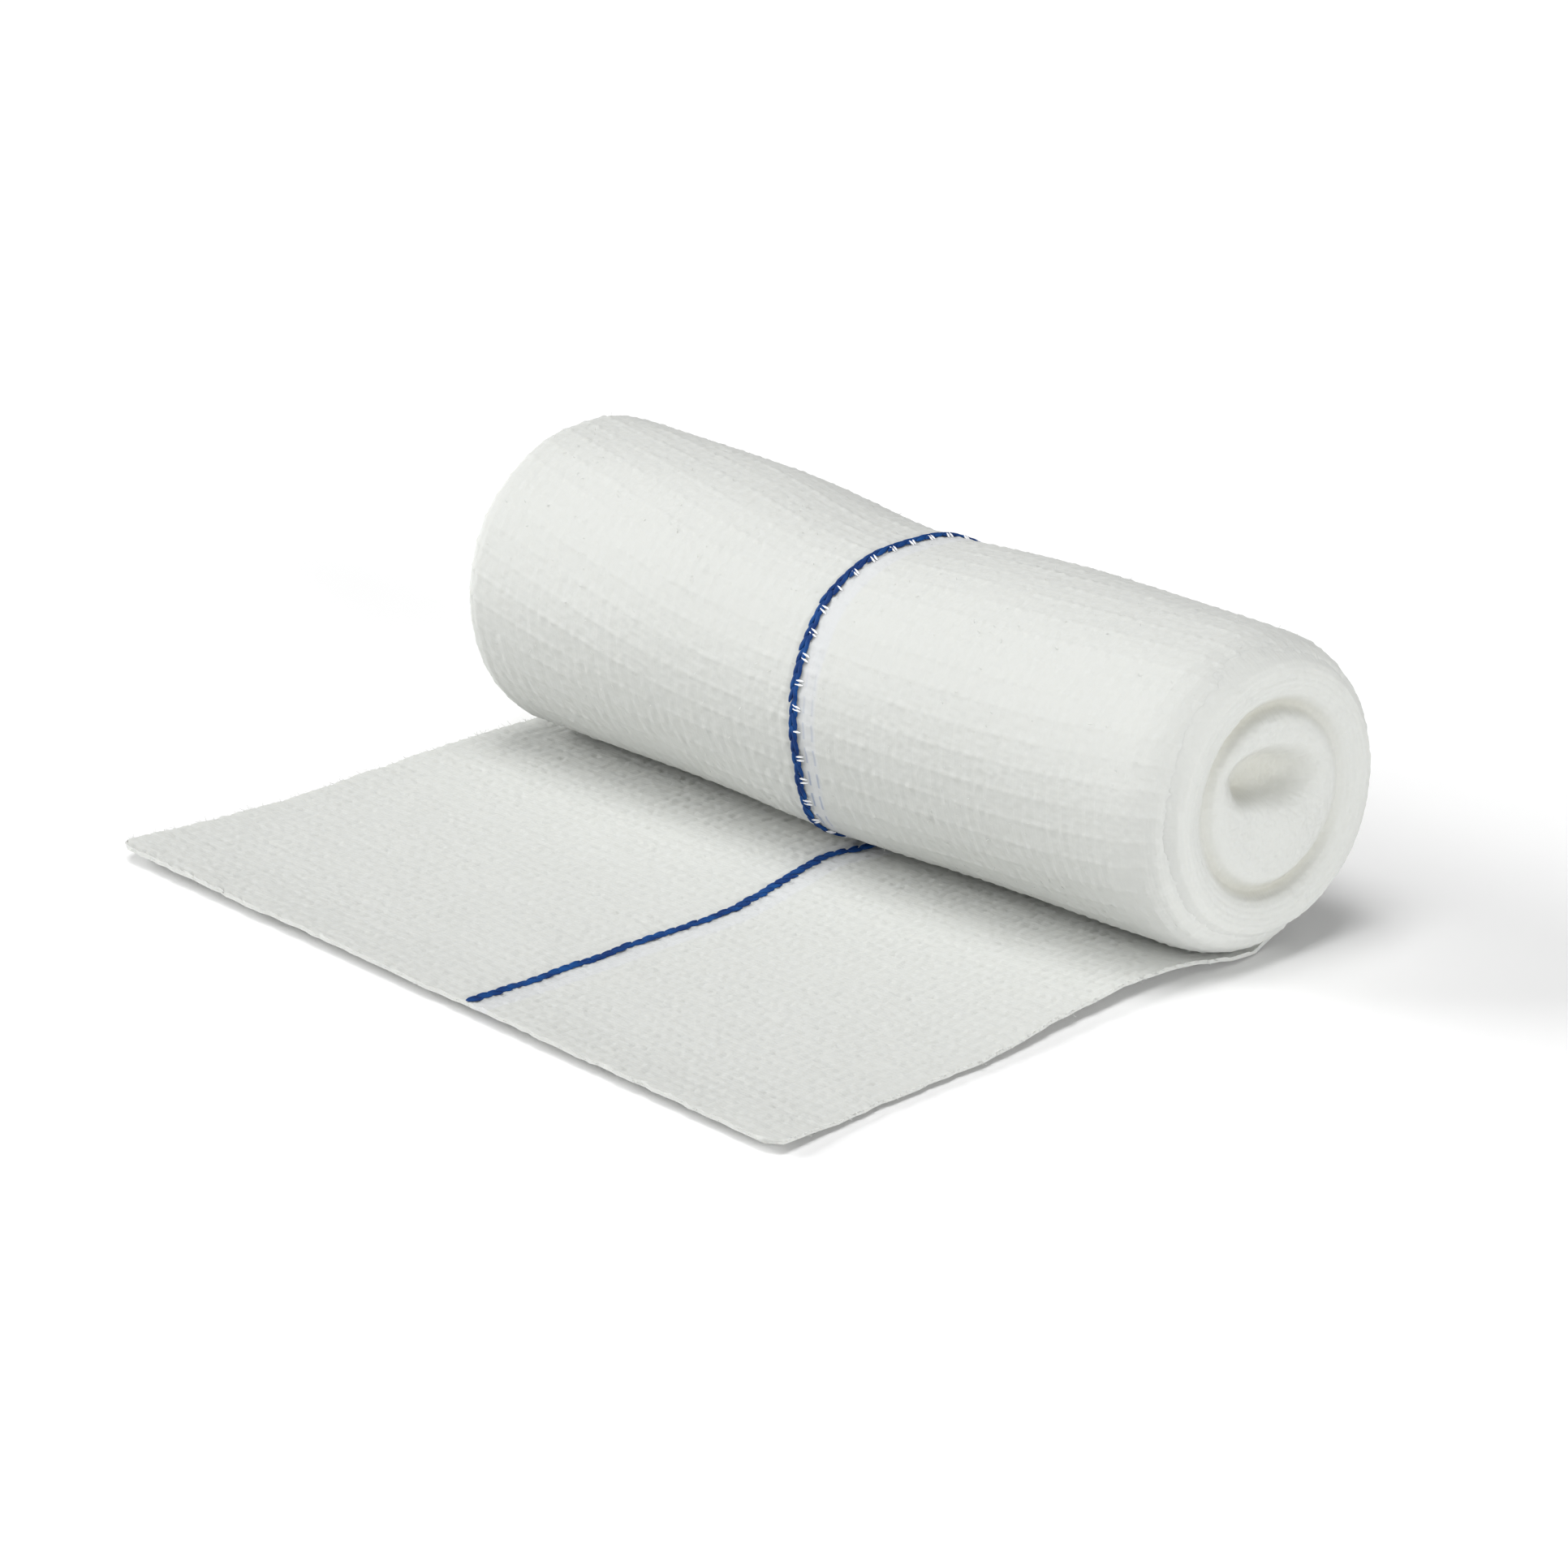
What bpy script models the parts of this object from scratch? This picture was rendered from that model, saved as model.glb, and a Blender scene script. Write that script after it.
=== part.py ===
"""Conforming bandage: a knitted gauze strip, part unrolled, with a blue marker yarn along its middle.

Metres, +Z up. X runs along the roll, -Y along the free tail, and the origin is on the underside of the
strip, below the roll's axis. The strip comes along the floor from its cut end, passes under the roll and
winds up the back, over the top and down the front, further in with each turn.
"""

import math
from collections import namedtuple

import bpy

# Strip and roll: the roll is as long as the strip is wide
STRIP_WIDTH = 0.100
ROLL_RADIUS = 0.0166
CORE_RADIUS = 0.0062
PLY_THICKNESS = 0.0011
PLY_GAP = 0.00035
STATIONS_PER_TURN = 24

# Ends of the roll: the curl of the outer plies, the nearly straight inner ones, and how far the strip
# has wound from the floor when its edges begin to curl and when they are curled
SHOULDER_RADIUS = 0.0070
CURL_ANGLE = math.radians(70)
STRAIGHT_ANGLE = math.radians(1)
UNCURLED_UNTIL = math.radians(10)
CURLED_FROM = math.radians(100)

# Dip round the middle of the roll and rise of its left end over its right, both greatest on top
WAIST_DEPTH = 0.0013
WAIST_HALF_LENGTH = 0.022
END_RISE = 0.0010

# Inner end of the strip, looped into the lower half of the core
CORE_LOOP_RADIUS = 0.0030
CORE_LOOP_TURNS = 1.35
CORE_LOOP_LEAN = math.radians(-65)

# Tail, measured from below the roll's axis to the middle of the cut edge
TAIL_LENGTH = 0.0605
CUT_SLANT = 0.0048
EDGE_LIFT = 0.0012

# Marker yarn
MARKER_WIDTH = 0.0011
MARKER_THICKNESS = 0.0004
MARKER_GAP = 0.0003
MARKER_DRIFT = 0.0050
MARKER_CLEAR_ANGLE = math.radians(22)

# How far the ply edges of the inner coil stand back from the end of the roll.
# plies: plies inside the shoulder; inset: share of the shoulder radius
CoilEnd = namedtuple("CoilEnd", "plies inset")
COIL_ENDS = (
    CoilEnd(0.0, 0.94),
    CoilEnd(0.8, 0.30),
    CoilEnd(1.6, 0.24),
    CoilEnd(2.4, 0.42),
    CoilEnd(3.6, 0.60),
)

# Outline and lift of the tail.
# along: share of the tail's length, below 0 where the roll's weight presses the strip flat behind its axis;
# left and right: shares of half the strip's width;
# the lifts of the left edge, middle and right edge: shares of the edge lift
TailRow = namedtuple("TailRow", "along left right lift_left lift_middle lift_right")
TAIL_ROWS = (
    TailRow(-0.03, 1.00, 0.93, 0.00, 0.00, 0.00),
    TailRow(0.00, 1.00, 0.93, 0.00, 0.00, 0.00),
    TailRow(0.12, 1.01, 0.92, 0.00, 0.00, 0.70),
    TailRow(0.24, 1.01, 0.92, 0.00, 0.00, 0.85),
    TailRow(0.38, 1.00, 0.93, 0.00, 0.00, 0.55),
    TailRow(0.55, 0.99, 0.95, 0.10, 0.00, 0.15),
    TailRow(0.75, 0.99, 0.96, 0.35, 0.00, 0.10),
    TailRow(0.90, 0.99, 0.97, 0.70, 0.10, 0.20),
    TailRow(1.00, 0.99, 0.98, 1.00, 0.50, 0.40),
)

# Sideways drift of the marker yarn along the tail.
# along: share of the tail's length; drift: share of the marker drift
MarkerRow = namedtuple("MarkerRow", "along drift")
MARKER_ROWS = (
    MarkerRow(0.00, 0.00),
    MarkerRow(0.16, -0.06),
    MarkerRow(0.26, 0.16),
    MarkerRow(0.42, 0.60),
    MarkerRow(0.75, 0.68),
    MarkerRow(1.00, 1.00),
)

# Places of the sections across the strip.
# body: share of the way from the middle to the shoulder; curl: share of the curl round the shoulder
Section = namedtuple("Section", "side body curl")
SECTIONS = (
    Section(-1, 1.0, 1.0),
    Section(-1, 1.0, 0.5),
    Section(-1, 1.0, 0.0),
    Section(-1, 0.4, 0.0),
    Section(1, 0.0, 0.0),
    Section(1, 0.4, 0.0),
    Section(1, 1.0, 0.0),
    Section(1, 1.0, 0.5),
    Section(1, 1.0, 1.0),
)

PLY_PITCH = PLY_THICKNESS + PLY_GAP
SHOULDER_START = STRIP_WIDTH / 2 - SHOULDER_RADIUS * math.sin(CURL_ANGLE)
FULL_TURN = 2 * math.pi
WOUND_ANGLE = FULL_TURN * (ROLL_RADIUS - CORE_RADIUS) / PLY_PITCH
LOOP_BLEND_ANGLE = math.pi

# A place along the strip's outer face: its point, its outward normal, its depth in the roll,
# the angle wound since the strip left the floor, and the share of the tail's length (0 on the roll)
Station = namedtuple("Station", "y z normal_y normal_z depth wound along")


def clear_scene():
    for scene_object in list(bpy.data.objects):
        bpy.data.objects.remove(scene_object, do_unlink=True)


def mix(start, end, share):
    return start + (end - start) * share


def smooth_step(value, start, end):
    share = min(max((value - start) / (end - start), 0.0), 1.0)
    return share * share * (3 - 2 * share)


def read_table(rows, key, value, at):
    """The named value of a table, interpolated along its key column."""
    if at <= getattr(rows[0], key):
        return getattr(rows[0], value)
    for low, high in zip(rows, rows[1:]):
        if at <= getattr(high, key):
            span = getattr(high, key) - getattr(low, key)
            return mix(getattr(low, value), getattr(high, value), (at - getattr(low, key)) / span)
    return getattr(rows[-1], value)


def roll_station(wound):
    """A station on the spiral, wound from the floor under the roll towards the core."""
    into_loop = wound - WOUND_ANGLE
    blend = smooth_step(into_loop, 0.0, LOOP_BLEND_ANGLE)
    radius = ROLL_RADIUS - PLY_PITCH * min(wound, WOUND_ANGLE) / FULL_TURN
    loop_turns_past_blend = max(into_loop - LOOP_BLEND_ANGLE, 0.0) / FULL_TURN
    radius = mix(radius, CORE_LOOP_RADIUS - PLY_PITCH * loop_turns_past_blend, blend)
    shift = blend * (CORE_RADIUS - PLY_PITCH - CORE_LOOP_RADIUS)
    angle = wound - math.pi / 2
    normal_y = math.cos(angle)
    normal_z = math.sin(angle)
    y = shift * math.cos(CORE_LOOP_LEAN) + radius * normal_y
    z = ROLL_RADIUS + shift * math.sin(CORE_LOOP_LEAN) + radius * normal_z
    depth = PLY_PITCH * wound / FULL_TURN
    return Station(y, z, normal_y, normal_z, depth, wound, 0.0)


def tail_station(along):
    return Station(-along * TAIL_LENGTH, 0.0, 0.0, -1.0, 0.0, 0.0, along)


def strip_stations():
    """Stations from the cut end of the tail to the inner end in the core."""
    stations = [tail_station(row.along) for row in reversed(TAIL_ROWS)]
    last_angle = WOUND_ANGLE + FULL_TURN * CORE_LOOP_TURNS
    count = math.ceil(last_angle / FULL_TURN * STATIONS_PER_TURN)
    stations += [roll_station(last_angle * step / count) for step in range(1, count + 1)]
    return stations


def form_drop(station, x):
    """Drop of the outer face for the waist and the slope: none where the roll rests, less inside it."""
    waist = WAIST_DEPTH * max(1 - abs(x) / WAIST_HALF_LENGTH, 0.0)
    slope = END_RISE * x / STRIP_WIDTH
    upward = 0.5 + 0.5 * station.normal_z
    fade_inwards = max(1 - station.depth / ROLL_RADIUS, 0.0)
    return (waist + slope) * upward * fade_inwards


def curled_section(station, section, curled):
    """x and drop on the roll: outer plies curl by the curled share, and inner ones end straight."""
    curl_radius = max(SHOULDER_RADIUS - station.depth, 0.0)
    curl_share = smooth_step(curl_radius, PLY_THICKNESS, 2 * PLY_THICKNESS)
    curl_angle = mix(STRAIGHT_ANGLE, CURL_ANGLE, curl_share)
    end = SHOULDER_START + curl_radius * math.sin(curl_angle)
    plies_inside = (station.depth - SHOULDER_RADIUS) / PLY_PITCH
    if plies_inside > 0:
        end = STRIP_WIDTH / 2 - SHOULDER_RADIUS * read_table(COIL_ENDS, "plies", "inset", plies_inside)
    start = min(end, SHOULDER_START) - (1 - curl_share) * PLY_THICKNESS
    bow = math.sin(curl_angle * section.curl) / math.sin(curl_angle)
    x = mix(section.body * start, end, bow)
    return section.side * x, curl_radius * (1 - math.cos(curl_angle * section.curl * curled))


def flat_section(station, section):
    """x and lift of the tail, or of the ply that leaves the floor."""
    edge = "left" if section.side < 0 else "right"
    half_width = STRIP_WIDTH / 2 * read_table(TAIL_ROWS, "along", edge, station.along)
    body = min(SHOULDER_START, half_width) * section.body
    x = mix(body, half_width, section.curl)
    lift_middle = read_table(TAIL_ROWS, "along", "lift_middle", station.along)
    lift_edge = read_table(TAIL_ROWS, "along", "lift_" + edge, station.along)
    return section.side * x, EDGE_LIFT * mix(lift_middle, lift_edge, section.curl)


def section_point(station, x, drop):
    """The point at x that lies a drop inside the station's outer face."""
    slant = CUT_SLANT * x / STRIP_WIDTH * station.along
    y = station.y - slant - drop * station.normal_y
    z = station.z - drop * station.normal_z
    return (x, y, z)


def strip_point(station, section):
    curled = smooth_step(station.wound, UNCURLED_UNTIL, CURLED_FROM)
    flat_x, flat_lift = flat_section(station, section)
    curled_x, curled_drop = curled_section(station, section, curled)
    x = mix(flat_x, curled_x, curled)
    drop = curled_drop + mix(flat_lift, form_drop(station, curled_x), curled)
    return section_point(station, x, drop)


def sheet_object(name, rows, thickness, side, material):
    """A closed sheet on a grid of points: side -1 thickens it behind its faces, 1 in front of them."""
    across = len(rows[0])
    vertices = [point for row in rows for point in row]
    faces = []
    for row in range(len(rows) - 1):
        for column in range(across - 1):
            corner = row * across + column
            faces.append((corner, corner + across, corner + across + 1, corner + 1))
    mesh = bpy.data.meshes.new(name)
    mesh.from_pydata(vertices, [], faces)
    mesh.validate()
    mesh.materials.append(material)
    sheet = bpy.data.objects.new(name, mesh)
    bpy.context.scene.collection.objects.link(sheet)
    solidify = sheet.modifiers.new("Thickness", "SOLIDIFY")
    solidify.thickness = thickness
    solidify.offset = side
    solidify.use_even_offset = True
    mesh.shade_smooth()
    mesh.set_sharp_from_angle(angle=math.radians(40))
    return sheet


def principled_material(name, colour, roughness, sheen):
    material = bpy.data.materials.new(name)
    material.use_nodes = True
    shader = material.node_tree.nodes["Principled BSDF"]
    shader.inputs["Base Color"].default_value = (*colour, 1.0)
    shader.inputs["Roughness"].default_value = roughness
    shader.inputs["Metallic"].default_value = 0.0
    shader.inputs["Sheen Weight"].default_value = sheen
    return material


def knit_material():
    return principled_material("bandage_knit", (0.84, 0.85, 0.82), 0.85, 0.3)


def yarn_material():
    return principled_material("marker_yarn", (0.015, 0.055, 0.27), 0.7, 0.2)


def make_strip(material):
    rows = [[strip_point(station, section) for section in SECTIONS] for station in strip_stations()]
    return sheet_object("bandage_strip", rows, PLY_THICKNESS, -1, material)


def make_marker_on_roll(material):
    """The yarn on the outer face, from the back of the roll over the top and down to the crease."""
    first = MARKER_CLEAR_ANGLE
    last = FULL_TURN - MARKER_CLEAR_ANGLE
    count = STATIONS_PER_TURN
    rows = []
    for step in range(count + 1):
        station = roll_station(mix(first, last, step / count))
        drop = form_drop(station, 0.0) * smooth_step(station.wound, UNCURLED_UNTIL, CURLED_FROM)
        rows.append([section_point(station, side * MARKER_WIDTH, drop - MARKER_GAP) for side in (-0.5, 0.5)])
    return sheet_object("marker_yarn_roll", rows, MARKER_THICKNESS, 1, material)


def make_marker_on_tail(material):
    """The yarn on the upper face of the tail, from the crease to the cut edge."""
    crease = ROLL_RADIUS * math.sin(MARKER_CLEAR_ANGLE) / TAIL_LENGTH
    places = sorted({crease} | {row.along for row in MARKER_ROWS + TAIL_ROWS if row.along > crease})
    rows = []
    for along in reversed(places):
        station = tail_station(along)
        middle = MARKER_DRIFT * read_table(MARKER_ROWS, "along", "drift", along)
        lift = EDGE_LIFT * read_table(TAIL_ROWS, "along", "lift_middle", along)
        height = lift + PLY_THICKNESS + MARKER_GAP
        row = [section_point(station, middle + side * MARKER_WIDTH, height) for side in (-0.5, 0.5)]
        rows.append(row)
    return sheet_object("marker_yarn_tail", rows, MARKER_THICKNESS, -1, material)


def main():
    clear_scene()
    make_strip(knit_material())
    yarn = yarn_material()
    make_marker_on_roll(yarn)
    make_marker_on_tail(yarn)


main()
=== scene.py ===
"""Conforming bandage, dressed: the knitted strip, its marker yarn and the loose fibres along its edges.

Lengths are in millimetres until a mesh is made. X runs along the roll, -Y along the free tail, +Z up.
Along the strip, s is 0 below the roll's axis, negative on the tail and positive on the roll. Across it,
a runs from -1 at the left edge to 1 at the right one. Places on an end of the roll are u and v, forwards
and up from its axis.
"""

import math

import bpy
import numpy as np
from mathutils import Matrix, Vector


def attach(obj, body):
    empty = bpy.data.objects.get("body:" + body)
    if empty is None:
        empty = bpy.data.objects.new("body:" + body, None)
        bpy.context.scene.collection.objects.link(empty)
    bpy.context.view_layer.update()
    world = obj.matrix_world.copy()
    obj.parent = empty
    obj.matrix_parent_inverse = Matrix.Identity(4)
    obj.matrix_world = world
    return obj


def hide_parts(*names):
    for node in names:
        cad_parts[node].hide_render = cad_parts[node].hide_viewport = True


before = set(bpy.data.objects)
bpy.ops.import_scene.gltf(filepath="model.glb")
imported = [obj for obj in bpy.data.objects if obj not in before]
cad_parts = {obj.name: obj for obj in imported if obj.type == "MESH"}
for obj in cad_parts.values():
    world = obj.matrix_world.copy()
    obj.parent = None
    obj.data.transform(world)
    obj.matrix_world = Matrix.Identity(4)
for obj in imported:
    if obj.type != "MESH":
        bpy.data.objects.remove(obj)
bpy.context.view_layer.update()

MM = 0.001
FULL_TURN = 2 * math.pi
STRIP_WIDTH = 100.0

# Roll: a spiral of even pitch, whose first turn lies flat on the tail before its edges curl
ROLL_RADIUS = 16.3
PLY_PITCH = 0.5
PLY_THICKNESS = 0.42
AXIS_SHIFT = 0.5
UNCURLED_UNTIL = math.radians(6)
CURLED_FROM = math.radians(64)

# Soft form of the roll: how far its ends and top stand out, its waist, a fold, a belly and small lumps
LEFT_SWELL = -0.2
RIGHT_SWELL = -0.85
TOP_DIP = -0.2
TOP_DIP_RANGE = (-30.0, 40.0)
WAIST_DEPTH = 1.0
WAIST_CENTRE = 2.0
WAIST_REACH = 12.6
FOLD_DEPTH = 1.05
FOLD_CENTRE = -6.5
FOLD_REACH = 10.5
BELLY_HEIGHT = 0.9
BELLY_REACH = 16.0
BELLY_ANGLE = math.radians(318)
BELLY_SPREAD = 0.35
FLAT_COUNT = 11
FLAT_HEIGHT = 0.07
FLAT_TWIST = 0.02
FLAT_LENGTH = 40.0
FLAT_VARIETY = 1.4
LUMP_HEIGHT = 0.12
LUMP_LENGTH = 17.0
LUMP_VARIETY = 2
UNEVEN_RISE = 2.5

# Shoulders at the left (-1) and right (1) end: where they begin, and how far they run outwards and inwards
SHOULDER_START = {-1: 45.6, 1: 42.4}
SHOULDER_OUT = {-1: 4.5, 1: 7.3}
SHOULDER_IN = {-1: 6.7, 1: 5.7}
CURL_ANGLE = math.radians(62)
EDGE_SINK = 0.42
EDGE_SINK_ANGLE = 0.5
FREE_EDGE_RANGE = (1.2, 2.0)

# End of the roll. Each row: distance from the axis, distance inside the edge of the outermost ply
END_ROWS = (
    (0.0, 0.95), (3.0, 0.85), (5.0, 0.62), (6.6, 0.46), (7.4, 0.52), (8.0, 0.85), (8.5, 1.45),
    (8.9, 1.75), (9.3, 1.45), (9.9, 0.78), (10.6, 0.42), (11.4, 0.22), (12.0, 0.20), (12.6, 0.36),
    (13.0, 0.74), (13.6, 1.65), (14.3, 3.00), (15.0, 4.60), (16.4, 8.50),
)
END_RADIUS = 14.3
END_INNER_RADIUS = 0.15
END_THICKNESS = 1.0
END_RINGS = 92
END_SIDES = 340

# Softness of an end, and the spiral of the plies' edges on it: its height inside and outside the groove
END_SOFTNESS = 0.10
END_SOFT_LENGTH = 2.6
END_SOFT_CORNER = 20
END_SIDE_CELLS = 9
SPIRAL_STRETCH = 1.2
SPIRAL_HEIGHTS = (0.012, 0.035)
SPIRAL_CHANGE = (8.6, 10.5)

# Grain of the ends' cloth. Each row: seed, height, cells to a millimetre
END_GRAIN_ROWS = ((19, 0.055, 1.9), (20, 0.045, 3.7))

# Groove round the folded core: how deep it shows on average, and how that changes once and twice round
GROOVE_RADIUS = 8.9
GROOVE_REACH = 0.75
GROOVE_SHARE = 0.68
GROOVE_ONCE = 0.12
GROOVE_TWICE = 0.32
GROOVE_FILL = 0.9

# Folded core: a slanted hollow, a pit at its front and a lump below it. Places and sizes are (u, v)
HOLLOW_PLACE = (-0.2, 2.3)
HOLLOW_SIZE = (5.2, 2.4)
HOLLOW_SLANT = 0.17
HOLLOW_DEPTH = 2.6
HOLLOW_POWER = 1.8
PIT_PLACE = (-2.9, 1.0)
PIT_SIZE = (1.6, 0.9)
PIT_DEPTH = 1.0
LUMP_PLACE = (1.4, -3.1)
LUMP_SIZE = (3.6, 2.2)
CORE_LUMP_HEIGHT = 0.9

# Inner turns: their edges stop behind the soft end faces, and they lie inside the outer turns
CORE_RADIUS = 3.0
COIL_START = math.radians(366)
COIL_STEPS = 44
COIL_SET_BACK = 1.6
COIL_SINK = 0.35
COIL_THICKNESS = 0.8 * PLY_THICKNESS
COIL_COLUMNS = (0.1, 0.2, 0.32, 0.5, 0.8, 1.0)
COIL_WALE = 1.6

# Tail
TAIL_LENGTH = 60.5
TAIL_THICKNESS = 0.4
TAIL_BASE = 0.08
EDGE_LIFT = 1.2
EDGE_LIFT_POWER = 5
RIPPLE_RISE = 0.12
RIPPLE_RANGE = (2.0, 14.0)
CUT_SLANT = 4.8
CUT_DEPTH = 2.5
CORNER_RADIUS = 1.5
RAGGED_POWER = 12

# Outline of the tail. along: share of its length; left, right: half widths; lifts: shares of the edge lift
TAIL_COLUMNS = ("along", "left", "right", "lift_left", "lift_middle", "lift_right")
TAIL_ROWS = (
    (-0.10, 50.2, 43.6, 0.00, 0.00, 0.00),
    (0.00, 50.2, 45.6, 0.00, 0.00, 0.15),
    (0.12, 50.6, 44.6, 0.00, 0.00, 0.75),
    (0.24, 50.6, 44.6, 0.05, 0.00, 0.95),
    (0.38, 50.1, 45.4, 0.12, 0.00, 0.70),
    (0.55, 49.7, 46.8, 0.18, 0.00, 0.30),
    (0.75, 49.6, 47.2, 0.35, 0.02, 0.20),
    (0.90, 49.8, 48.0, 0.75, 0.30, 0.40),
    (1.00, 50.2, 48.6, 1.10, 0.80, 0.75),
)

# Sideways place of the marker yarn. Each row: y on the tail or degrees wound on the roll, then x
MARKER_ON_TAIL = (
    (-61.0, 5.1), (-56.0, 4.3), (-49.7, 3.8), (-43.0, 3.6), (-36.0, 3.3), (-30.6, 3.6),
    (-26.3, 3.3), (-19.7, 1.8), (-14.5, 0.3), (-9.9, -0.6), (-6.7, 0.2), (0.0, 0.4),
)
MARKER_ON_ROLL = (
    (0.0, 0.4), (60.0, 0.9), (120.0, 0.8), (180.0, 0.5), (222.0, -0.65), (250.0, -0.4), (273.0, -0.2),
    (292.0, -0.3), (303.0, -0.8), (316.0, -1.4), (345.0, -1.6), (400.0, -1.6),
)

# Waves of noise: seed, height, length of one wave along, and number of waves to a unit across
WAVES = {
    "edge_fine": (5, 0.14, 0.9, 3),
    "edge_coarse": (6, 0.10, 3.1, 3),
    "ripple": (7, 0.10, 9.0, 5),
    "ripple_fine": (8, 0.05, 4.0, 11),
    "ply_edge": (9, 0.18, 1 / 2.4, 5),
    "cut_edge": (10, 0.12, 1 / 55, 0),
    "course": (11, 0.35, 23.0, 3),
}
SEEDS = {
    "flats": 3, "lumps": 4, "side_lumps": 18, "stitches": 12, "grain": 13, "fine_grain": 14,
    "end_softness": 15, "marker": 21, "ticks": 22, "fibres": 23,
}
NOISE_CELLS = 64
NOISE_CENTRE = 9.0
NOISE_CORNER = 30.0

# Knit: ribs to half a width, and distance between crosswise ridges on the slack tail and on the wound roll
WALES = 31.6
TAIL_COURSE = 1.68
ROLL_COURSE = 2.65
COURSE_BOW = 0.0021
COURSE_BOW_CENTRE = 12.0
COURSE_BOW_LENGTH = 25.0

# Relief of the knit in millimetres, and the widths of its ridges and pits in stitches
ROLL_RELIEF = {"ridge": 0.120, "rib": 0.024, "grain": 0.045, "pit": 0.0}
TAIL_RELIEF = {"ridge": 0.012, "rib": 0.014, "grain": 0.068, "pit": -0.095}
RELIEF_CHANGE = (-4.0, 6.0)
RIDGE_WIDTH = 0.11
RIDGE_BETWEEN_RIBS = 0.30
PIT_WIDTH = 0.20
STITCH_STRENGTH = 0.75
STITCH_VARIETY = 0.5
STITCH_CELLS = (0.7, 3.7)
GRAIN_CELLS = (3.3, 6.1)
FINE_GRAIN_CELLS = (6, 11)
FINE_GRAIN_SHARE = 0.6

# Grids: distance between points on the seen face. The other face keeps every fourth point
TAIL_SPACING = 0.285
ROLL_SPACING = 0.245
BACK_STEP = 4
GRID_HALF_WIDTH = 52.0
SHARP_ANGLE = math.radians(65)
JOIN_ANGLE = math.radians(20)
LAST_ANGLE = math.radians(374)

# Marker yarn: radius and flatness of a strand, then how far it stands out and leans on the roll and the tail
STRAND_RADIUS = 0.27
STRAND_FLATNESS = 0.62
STRAND_TIP = 0.6
ROLL_STRAND = {"rise": 0.17, "reach": 0.37}
TAIL_STRAND = {"rise": 0.12, "reach": 0.30}

# One stitch of the marker: shares of its pitch that it runs back and ahead, and how its strands part
STITCH_BACK = 0.62
STITCH_AHEAD = 0.50
STRAND_PARTING = 0.08
STRAND_START_RISE = 0.02
MARKER_WOBBLE = 0.05
TAIL_STITCH = 0.8 * TAIL_COURSE
ROLL_STITCH = ROLL_COURSE / 2
MARKER_ON_ROLL_END = math.radians(352)

# White ticks over the marker: where they begin and end on the roll, and how they lie
TICK_DEGREES = (40, 345)
TICK_RADIUS = 0.115
TICK_CHANCE = 0.7
TICK_OFFSETS = (0.0, 0.42)
TICK_ASIDE = 0.46
TICK_RISE = 0.32
TICK_REACH = 0.42
TICK_DIP = 0.26

# Loose fibres: how many on each edge, on the cut and on the roll, then their lengths and how far they stray
EDGE_FIBRES = {-1: 230, 1: 260}
CUT_FIBRES = 330
ROLL_FIBRES = 420
ROLL_FIBRE_DEGREES = (100, 345)
ROLL_FIBRE_HALF = 47
EDGE_FIBRE = {"lengths": (0.25, 0.85), "stray": 0.6}
CUT_FIBRE = {"lengths": (0.15, 0.5), "stray": 0.8}
ROLL_FIBRE = {"lengths": (0.15, 0.45), "stray": 1.0}
FIBRE_RADII = (0.018, 0.032)
FIBRE_LIFT = (-0.1, 0.5)
FIBRE_BEND = 0.35
FIBRE_SHARES = (0.0, 0.35, 0.7, 1.0)
FIBRE_FLOOR = 0.05

# Colours in linear light
CLOTH = (0.556, 0.567, 0.543, 1)
CLOTH_PALE = (0.95, 0.95, 0.95, 1)
# Painted shade: a darker, warmer cloth colour laid into the end's groove, hollow and pit, where shade falls
CLOTH_PAINTED_SHADE = (0.46, 0.45, 0.38, 1)
CLOTH_BESIDE_MARKER = (0.60, 0.615, 0.675, 1)
MARKER_BELOW = (0.22, 0.28, 0.44, 1)
YARN_DARK = (0.001, 0.026, 0.135, 1)
YARN_WORN = (0.003, 0.062, 0.240, 1)
STITCH_WHITE = (0.90, 0.91, 0.93, 1)
FLOOR_WHITE = (0.97, 0.97, 0.97, 1)

# Look of the knit: scales of its noises, shares of the bump's height, and strengths of its tints.
# A bump is its strength and its depth in metres. The band beside the marker is its middle, reach and edge
GRAIN_SCALE = 2600.0
SOFT_SCALE = 900.0
BROAD_SCALE = 60.0
BUMP_SHARES = {"stitch": 0.10, "rib": 0.06, "grain": 0.45, "soft": 0.35}
PALE_SHARES = {"grain": 0.05, "soft": 0.05, "broad": 0.04}
CLOTH_BUMP = (0.55, 0.00009)
# Strength of the painted shade in the end's groove, hollow and pit
PAINTED_SHADE_TINT = 0.55
BESIDE_MARKER = (1.75, 1.25, 0.35)
BESIDE_MARKER_TINT = 0.32
MARKER_BELOW_TINT = 0.9
YARN_BUMP = (0.6, 0.00008)

# Lights and floor, in metres. Each row: name, azimuth and elevation in degrees, side, power in watts
LIGHT_ROWS = (
    ("key", 6, 58, 1.3, 5.0),
    ("high", 20, 82, 1.6, 50.0),
    ("left", -60, 22, 1.6, 82.0),
    ("right", 80, 10, 1.6, 73.0),
)
LIGHT_DISTANCE = 3.0
LIGHT_TARGET = Vector((0, -0.01, 0.01))
WORLD_STRENGTH = 0.125
FLOOR_HALF = 3

# Camera: where the photo was taken from. Focal length and frame width are in pixels of the photo
CAMERA_AZIMUTH = math.radians(47.51)
CAMERA_ELEVATION = math.radians(20.47)
CAMERA_TILT = math.radians(-1.06)
CAMERA_DISTANCE = 696.6
CAMERA_RIGHT = -1.0
CAMERA_UP = -2.43
CAMERA_TARGET = Vector((0, -15, 12))
FOCAL_PIXELS = 9000
PHOTO_PIXELS = 1932
SENSOR_WIDTH = 36.0


def smooth_step(value, start, end):
    share = np.clip((value - start) / (end - start), 0.0, 1.0)
    return share * share * (3 - 2 * share)


def mix(start, end, share):
    return start + (end - start) * share


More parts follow.
